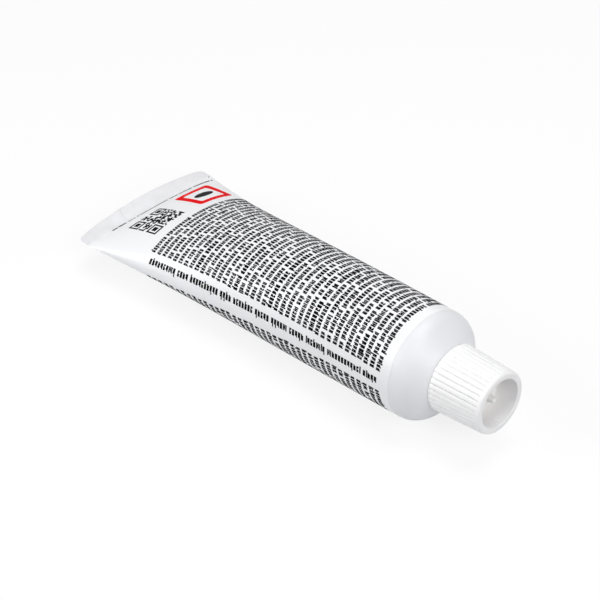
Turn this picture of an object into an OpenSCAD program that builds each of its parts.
// Hardener tube: a squeeze tube of cream, sealed flat at one end, with a ribbed screw cap.
// The tube lies on its side. +X runs from the sealed end to the cap, +Z is up, and the
// origin is on the floor, under the middle of the outline. Lengths are in millimetres.

/* [Sleeve] */
// Diameter of the round end of the sleeve
tube_d = 28; // [20:0.5:40]
// Length of the sleeve, from the sealed end to the head
sleeve_l = 106.6; // [60:1:160]
// Length of the flat, welded band
seal_l = 4.3; // [1:0.1:8]
// Thickness of the welded band, two walls together
seal_t = 0.8; // [0.4:0.1:1.6]
// Corner radius of the welded band
seal_corner_r = 2; // [0.5:0.1:3]
// How far the middle of the band's free edge is bent up
seal_bow = 1.9; // [0:0.1:4]
// How far the band stands above the tube's axis
seal_rise = 1.1; // [0:0.1:3]
// Length over which the sleeve comes down from there to the axis
rise_l = 30; // [10:1:60]
// How soon the sleeve turns from flat to round in plan, larger is sooner
plan_curve = 2.18; // [1:0.02:4]
// How soon the sleeve swells in side view, larger is sooner
swell_curve = 2.8; // [1:0.05:4]
// Share of the swelling that comes right behind the welded band
pillow_share = 0.22; // [0:0.01:0.3]
// How soon that share comes, larger is sooner
pillow_curve = 12; // [4:1:20]
// How blunt the folded edges are by the welded band
edge_fullness = 0.58; // [0:0.02:0.85]
// Place under the centre of mass, where the belly of the tube touches the floor
rest_x = 64; // [30:1:90]
// How deep the floor presses the soft belly flat
flat_depth = 0.8; // [0:0.05:1]

/* [Head] */
// Radius of the rounded corner between sleeve and shoulder
shoulder_r = 5.2; // [0.5:0.1:8]
// Angle of the shoulder against the tube's axis
shoulder_angle = 47; // [30:1:70]
// Diameter of the nozzle below its thread
nozzle_d = 9.6; // [6:0.1:12]
// Diameter over the nozzle's thread
thread_d = 11; // [8:0.1:14]
// Length of the nozzle above the cap's seat
nozzle_l = 6.6; // [4:0.1:12]
// Diameter of the foil that closes the nozzle's mouth
foil_d = 8.8; // [4:0.1:9.4]
// Thickness of the foil
foil_t = 0.15; // [0.05:0.05:0.4]

/* [Cap] */
// Length of the cap
cap_l = 14.4; // [12:0.1:25]
// Diameter of the cap at the tube
cap_base_d = 17.3; // [15:0.1:24]
// Diameter of the cap at its outer end
cap_end_d = 15.8; // [14.5:0.1:24]
// Rounding of the outer rim
rim_r = 0.7; // [0.1:0.1:1]
// Gap between the cap and the shoulder
seat_gap = 0.25; // [0.1:0.1:1]
// Room between the thread and the cap's bore
thread_gap = 0.15; // [0.1:0.05:0.5]
// Room between the nozzle's mouth and the floor of the cap
mouth_gap = 0.3; // [0.2:0.1:1]
// Thickness of the wall between bore and recess
web_t = 1.1; // [0.6:0.1:3]
// Number of grip ribs
rib_count = 38; // [12:1:60]
// Depth of the grooves between the ribs
groove_depth = 0.35; // [0.1:0.05:0.6]
// Width of a groove at the surface
groove_w = 0.62; // [0.2:0.02:0.8]
// Depth of the grooves on the band nearest the tube
band_depth = 0.14; // [0.05:0.01:0.3]
// Length of that band
band_l = 1.3; // [0.5:0.1:3]
// Length of the smooth rim at the outer end
rim_l = 0.8; // [0.8:0.1:3]
// Diameter of the recess at the outer end
recess_d = 12.4; // [11.5:0.1:12.6]
// Diameter of the piercing spike at its foot
spike_d = 3.4; // [2:0.1:5]
// Diameter of the spike's blunt point
spike_tip_d = 1.4; // [0.4:0.1:1.8]
// Depth of the spike's point below the rim
spike_below = 1.6; // [0.5:0.1:4]

/* [Print] */
// Number of printed rows that run round the sleeve
row_count = 40; // [4:1:60]
// Distance between the rows
row_pitch = 2; // [1.5:0.01:4]
// Distance from the sealed end to the first row
row_first = 25.1; // [20:0.1:60]
// Height of a row
row_h = 1.1; // [0.3:0.1:1.4]
// Near edge of the main panel, as an angle round the sleeve, 90 is the top
panel_near = 161; // [100:1:166]
// Far edge of the main panel
panel_far = 8; // [-60:1:60]
// Middle of the line of print that runs along the tube
line_angle = 172; // [170:1:176]
// Upper edge of the side panel
side_top = 182; // [180:1:200]
// Lower edge of the side panel
side_bottom = 246; // [210:1:260]
// Side of the square code block
block_side = 11.2; // [5:0.1:12]
// Distance from the sealed end to the block
block_first = 9.7; // [8:0.1:12]
// Near edge of the block, as an angle round the sleeve
block_near = 139; // [130:1:150]
// Side of the red frame
frame_side = 12.2; // [8:0.1:13]
// Distance from the sealed end to the frame
frame_first = 9.2; // [8:0.1:11]
// Near edge of the frame, as an angle round the sleeve
frame_near = 71; // [65:1:80]
// Width of the red frame's bars
frame_bar = 1.8; // [0.5:0.1:3]
// Distance from the sealed end to the line of fine print across the tube
fine_line_x = 5.7; // [4.8:0.1:7]
// Width of that line
fine_line_w = 0.5; // [0.2:0.1:1]
// Near end of that line, as an angle round the sleeve
fine_line_near = 150; // [120:1:160]
// Far end of that line
fine_line_far = 8; // [0:1:40]
// Thickness of the ink
ink_t = 0.1; // [0.05:0.01:0.3]

/* [Hidden] */
$fn = 96;
tube_r = tube_d / 2;
section_points = 42;
section_step = 360 / section_points;
ring_count = 26;
ink_lift = ink_t * 0.6;
// The shoulder leaves the rounded corner as a cone and ends at the cap's seat.
cone_x = sleeve_l + shoulder_r * sin(shoulder_angle);
cone_r = tube_r - shoulder_r * (1 - cos(shoulder_angle));
seat_r = cap_base_d / 2;
seat_x = cone_x + (cone_r - seat_r) / tan(shoulder_angle);
cap_x = seat_x + seat_gap;
mouth_x = cap_x + nozzle_l;
bore_d = thread_d + 2 * thread_gap;
bore_l = nozzle_l + foil_t + mouth_gap;
cap_end_x = cap_x + cap_l;
recess_l = cap_l - bore_l - web_t;
taper = atan((cap_base_d - cap_end_d) / 2 / cap_l);

// Share of the way from the welded band to the round end.
function along(x) = max(0, min(1, (x - seal_l) / (sleeve_l - seal_l)));
// Half height of the sleeve at a distance x from the sealed end.
function half_height(x) =
    let (t = along(x), swell = (1 - pillow_share) * (1 - pow(1 - t, swell_curve))
        + pillow_share * (1 - pow(1 - t, pillow_curve)))
    seal_t / 2 + (tube_r - seal_t / 2) * swell;
// Round corner of the welded band, as the width it takes off each side.
function corner_cut(x) = x >= seal_corner_r ? 0
    : seal_corner_r - sqrt(pow(seal_corner_r, 2) - pow(seal_corner_r - x, 2));
// How far the middle of the sleeve lies above the axis, which is not zero by the welded band.
function lift(x, y) = seal_rise * pow(max(0, 1 - x / rise_l), 2)
    + seal_bow * max(0, 1 - x / seal_l) * (1 - pow(2 * y / (PI * tube_r), 2));
// The floor under the tube as it lies, pressed a little into the belly.
function floor_z(x) = flat_depth - half_height(rest_x) - belly_slope * (x - rest_x);
// Point on the sleeve, by its distance x and its angle round the sleeve, 0 at the far edge.
function on_sleeve(x, angle) =
    let (t = along(x), share = 1 - pow(1 - t, plan_curve), whole = (angle % 360 + 360) % 360,
        upper = whole <= 180, a = upper ? whole : 360 - whole,
        flat_y = tube_r * PI * (90 - a) / 180, round_y = tube_r * cos(a),
        y = (1 - share) * flat_y + share * round_y,
        z = half_height(x) * pow(max(0, sin(a)), 1 - edge_fullness * (1 - t)))
    [x, y - sign(y) * min(abs(y), corner_cut(x)), lift(x, y) + (upper ? z : max(-z, floor_z(x)))];
// Outward direction there, in the plane across the tube.
function outward(x, angle) =
    let (p = on_sleeve(x, angle - 0.5), q = on_sleeve(x, angle + 0.5),
        dy = q[1] - p[1], dz = q[2] - p[2], n = max(1e-6, norm([dy, dz])))
    [0, dz / n, -dy / n];
function section_angle(k) = k * section_step;
function ring_x(i) = i == 0 ? 0 : i == 1 ? seal_corner_r * 0.3 : i == 2 ? seal_corner_r
    : seal_l + (sleeve_l - seal_l) * pow((i - 3) / (ring_count - 4), 1.5);
// Angles at which a print patch bends: its two edges and the sleeve's own edges between.
function bends(low, high) = concat([low],
    [for (k = [ceil(low / section_step):floor(high / section_step)])
        if (section_angle(k) > low + 0.2 && section_angle(k) < high - 0.2) section_angle(k)], [high]);

// The tube is turned up a little at the cap, as it lies on the belly of its sleeve.
belly_slope = (half_height(rest_x + 0.5) - half_height(rest_x - 0.5));
rest_angle = atan(belly_slope);
rest_height = (half_height(rest_x) - flat_depth - rest_x * belly_slope) * cos(rest_angle);
rim_centre = [cap_end_x - rim_r, cap_end_d / 2 - rim_r];
outline_end = rim_centre[0] * cos(rest_angle) + rim_centre[1] * sin(rest_angle) + rim_r;
outline_start = -(seal_rise + seal_bow + seal_t / 2) * sin(rest_angle);

module lying() {
    translate([-(outline_start + outline_end) / 2, 0, rest_height])
        rotate([0, -rest_angle, 0])
            children();
}

// A solid of revolution about the tube's axis, from points [distance, radius].
module turned(points) {
    rotate([0, 90, 0])
        rotate_extrude()
            polygon([for (p = points) [p[1], p[0]]]);
}

// An arc of points [distance, radius].
function arc(centre, radius, from, to, steps = 8) =
    [for (i = [0:steps]) let (a = from + (to - from) * i / steps)
        centre + radius * [cos(a), sin(a)]];

module sleeve() {
    rings = [for (i = [0:ring_count - 1]) ring_x(i)];
    points = [for (x = rings) for (k = [0:section_points - 1]) on_sleeve(x, section_angle(k))];
    walls = [for (i = [0:ring_count - 2]) for (k = [0:section_points - 1])
        let (n = (k + 1) % section_points, a = i * section_points, b = a + section_points)
        [a + k, b + k, b + n, a + n]];
    start = [for (k = [0:section_points - 1]) k];
    end = [for (k = [section_points - 1:-1:0]) (ring_count - 1) * section_points + k];
    color("white")
        lying()
            polyhedron(points, concat(walls, [start, end]));
}

module head() {
    corner = arc([sleeve_l, tube_r - shoulder_r], shoulder_r, 90, 90 - shoulder_angle);
    color("white")
        lying()
            turned(concat([[sleeve_l, 0]], corner, [[seat_x, seat_r],
                [cap_x, nozzle_d / 2 + 0.5], [cap_x + 0.5, nozzle_d / 2],
                [mouth_x, nozzle_d / 2], [mouth_x, 0]]));
}

module mouth_foil() {
    color("silver")
        lying()
            translate([mouth_x, 0, 0])
                rotate([0, 90, 0])
                    cylinder(h = foil_t, d = foil_d);
}

// One groove of the grip, between two distances from the cap's foot.
module groove(from, to, depth) {
    rotate([0, taper, 0])
        translate([from, 0, -depth])
            rotate([90, 0, 90])
                linear_extrude(to - from)
                    polygon([[-groove_w / 4, 0], [groove_w / 4, 0],
                        [groove_w / 2 + 0.3, depth + 0.6], [-groove_w / 2 - 0.3, depth + 0.6]]);
}

module cap() {
    rim = arc([cap_l - rim_r, cap_end_d / 2 - rim_r], rim_r, 90, 0);
    color("whitesmoke")
        lying()
            translate([cap_x, 0, 0])
                difference() {
                    turned(concat([[0, bore_d / 2], [0, cap_base_d / 2 - 0.3], [0.3, cap_base_d / 2]],
                        rim, [[cap_l, recess_d / 2], [cap_l - recess_l, recess_d / 2],
                        [cap_l - recess_l, spike_d / 2], [cap_l - spike_below, spike_tip_d / 2],
                        [cap_l - spike_below, 0], [bore_l, 0], [bore_l, bore_d / 2]]));
                    for (i = [0:rib_count - 1])
                        rotate([360 * i / rib_count, 0, 0])
                            translate([0, 0, cap_base_d / 2]) {
                                groove(band_l, cap_l - rim_l, groove_depth);
                                groove(-1, band_l + 0.1, band_depth);
                            }
                }
}

// A patch of ink on the sleeve, between two distances and two angles.
module ink(from_x, to_x, low, high, steps = 1) {
    angles = bends(low, high);
    nx = steps + 1;
    na = len(angles);
    points = [for (layer = [0, 1]) for (i = [0:steps]) for (a = angles)
        let (x = from_x + (to_x - from_x) * i / steps)
        on_sleeve(x, a) + outward(x, a) * (ink_lift + layer * ink_t)];
    function at(layer, i, j) = (layer * nx + i) * na + j;
    faces = concat(
        [for (i = [0:nx - 2]) for (j = [0:na - 2])
            [at(1, i, j), at(1, i + 1, j), at(1, i + 1, j + 1), at(1, i, j + 1)]],
        [for (i = [0:nx - 2]) for (j = [0:na - 2])
            [at(0, i, j), at(0, i, j + 1), at(0, i + 1, j + 1), at(0, i + 1, j)]],
        [for (j = [0:na - 2]) [at(1, 0, j), at(1, 0, j + 1), at(0, 0, j + 1), at(0, 0, j)]],
        [for (j = [0:na - 2]) [at(1, nx - 1, j + 1), at(1, nx - 1, j), at(0, nx - 1, j), at(0, nx - 1, j + 1)]],
        [for (i = [0:nx - 2]) [at(1, i + 1, 0), at(1, i, 0), at(0, i, 0), at(0, i + 1, 0)]],
        [for (i = [0:nx - 2]) [at(1, i, na - 1), at(1, i + 1, na - 1), at(0, i + 1, na - 1), at(0, i, na - 1)]]);
    polyhedron(points, faces);
}

// Angle that a length takes round the sleeve.
function turn(length) = length / tube_r * 180 / PI;

module print_dark() {
    color("black")
        lying() {
            for (i = [0:row_count - 1]) {
                x = row_first + row_pitch * i;
                ink(x - row_h / 2, x + row_h / 2, panel_far, panel_near);
                ink(x - row_h / 2, x + row_h / 2, side_top, side_bottom);
            }
            ink(row_first, row_first + row_pitch * (row_count - 1),
                line_angle - turn(row_h) / 2, line_angle + turn(row_h) / 2, 24);
            ink(block_first, block_first + block_side, block_near - turn(block_side), block_near, 3);
            ink(frame_first + frame_side * 0.35, frame_first + frame_side * 0.65,
                frame_near - turn(frame_side * 0.65), frame_near - turn(frame_side * 0.35), 2);
            ink(fine_line_x - fine_line_w / 2, fine_line_x + fine_line_w / 2,
                fine_line_far, fine_line_near);
        }
}

module print_red() {
    low = frame_near - turn(frame_side);
    color("red")
        lying() {
            ink(frame_first, frame_first + frame_bar, low, frame_near);
            ink(frame_first + frame_side - frame_bar, frame_first + frame_side, low, frame_near);
            ink(frame_first + frame_bar + 0.02, frame_first + frame_side - frame_bar - 0.02,
                low, low + turn(frame_bar), 3);
            ink(frame_first + frame_bar + 0.02, frame_first + frame_side - frame_bar - 0.02,
                frame_near - turn(frame_bar), frame_near, 3);
        }
}

sleeve();
head();
mouth_foil();
cap();
print_dark();
print_red();
